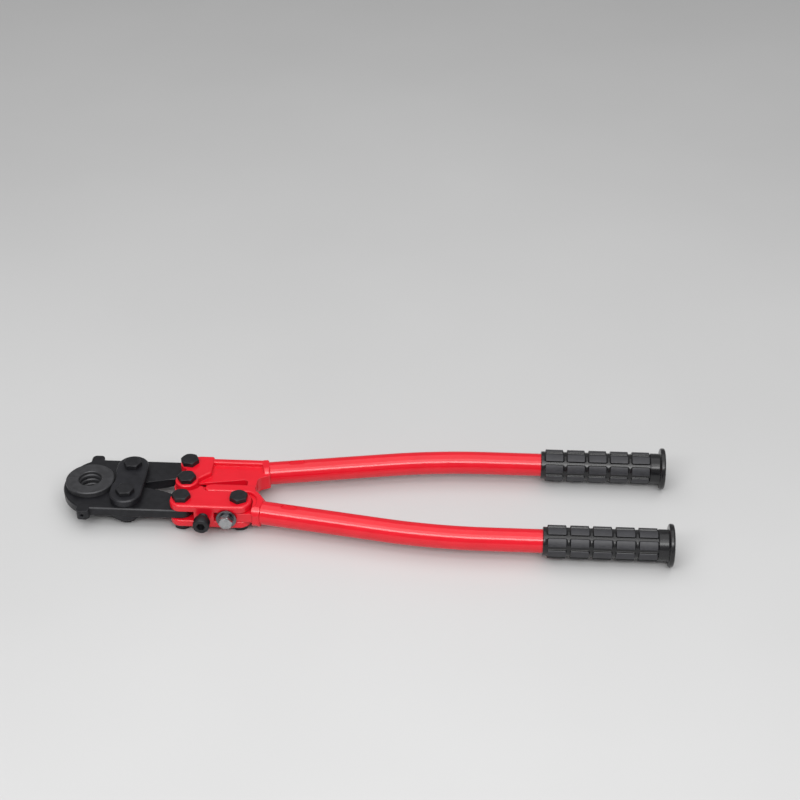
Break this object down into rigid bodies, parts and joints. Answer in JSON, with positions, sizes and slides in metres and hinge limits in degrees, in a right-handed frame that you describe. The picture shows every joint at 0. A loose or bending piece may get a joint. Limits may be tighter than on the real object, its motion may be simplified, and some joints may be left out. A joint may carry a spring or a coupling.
{
  "type": "pipe press pliers",
  "caption": "Long-handled hand press pliers with hinged jaws, a split ring die, link plates, a screw-set toggle and bent tube handles with ribbed grips, for pressing pipe fittings.",
  "frame": {"origin": "middle of the closed die's bore, at half its thickness", "axes": "+X along the tool from the die to the handles, +Y towards the upper jaw and upper handle, +Z along the die's axis, towards the bolt heads"},
  "size_m": [0.481, 0.1304, 0.0334],
  "materials": {
    "red_paint": "glossy red enamel over steel",
    "black_oxide": "black oxide, satin",
    "die_steel": "black oxide, turned",
    "black_bolt": "black oxide, oiled",
    "bright_steel": "bright hardened steel",
    "zinc_plate": "bright zinc plate",
    "black_vinyl": "moulded satin vinyl"
  },
  "bodies": {
    "link": {"link_plate_top": "black_oxide", "link_plate_bottom": "black_oxide", "plate_bolts": "black_bolt", "plate_nuts": "black_bolt"},
    "upper_jaw": {"upper_jaw": "black_oxide", "upper_die": "die_steel", "upper_detent_ball": "bright_steel", "upper_detent_spring": "bright_steel", "upper_detent_screw": "black_bolt"},
    "lower_jaw": {"lower_jaw": "black_oxide", "lower_die": "die_steel", "lower_detent_ball": "bright_steel", "lower_detent_spring": "bright_steel", "lower_detent_screw": "black_bolt"},
    "upper_handle": {"upper_head": "red_paint", "upper_tube": "red_paint", "upper_grip": "black_vinyl", "center_bolt": "black_bolt", "center_nut": "black_bolt", "upper_tail_bolt": "black_bolt", "upper_tail_nut": "black_bolt"},
    "adjuster": {"adjuster_fork": "red_paint", "lower_tail_bolt": "black_bolt", "lower_tail_nut": "black_bolt", "adjuster_bolt": "black_bolt", "adjuster_nut": "black_bolt"},
    "adjusting_screw": {"adjusting_screw": "black_bolt"},
    "lower_handle": {"lower_head": "red_paint", "lower_tube": "red_paint", "lower_grip": "black_vinyl", "lock_bolt": "zinc_plate", "lock_washer": "zinc_plate", "lock_spring_washer": "zinc_plate"}
  },
  "joints": [
    {"name": "upper_handle_pivot", "type": "hinge", "parent": "upper_jaw", "child": "upper_handle", "pos_m": [0.077, 0.023, 0], "axis": [0, 0, 1], "range_deg": [0, 66.5]},
    {"name": "upper_jaw_pivot", "type": "hinge", "parent": "link", "child": "upper_jaw", "pos_m": [0.0315, 0.0175, 0], "axis": [0, 0, -1], "range_deg": [0, 11.5]},
    {"name": "lower_jaw_pivot", "type": "hinge", "parent": "link", "child": "lower_jaw", "pos_m": [0.0315, -0.0175, 0], "axis": [0, 0, 1], "range_deg": [0, 11.5]},
    {"name": "lower_handle_pivot", "type": "hinge", "parent": "lower_jaw", "child": "adjuster", "pos_m": [0.077, -0.023, 0], "axis": [0, 0, -1], "range_deg": [0, 66.5]},
    {"name": "adjuster_set", "type": "hinge", "parent": "adjuster", "child": "lower_handle", "pos_m": [0.1223, -0.022, 0], "axis": [0, 0, 1], "range_deg": [-1, 1]},
    {"name": "adjusting_screw_travel", "type": "slide", "parent": "adjuster", "child": "adjusting_screw", "axis": [0, -1, 0], "range_m": [-0.0005, 0.0005]}
  ],
  "couplings": [
    {"joint": "upper_jaw_pivot", "follows": "upper_handle_pivot", "ratio": 0.1729},
    {"joint": "lower_jaw_pivot", "follows": "upper_handle_pivot", "ratio": 0.1729},
    {"joint": "lower_handle_pivot", "follows": "upper_handle_pivot", "ratio": 1},
    {"joint": "adjusting_screw_travel", "follows": "adjuster_set", "m_per_rad": 0.0273}
  ]
}
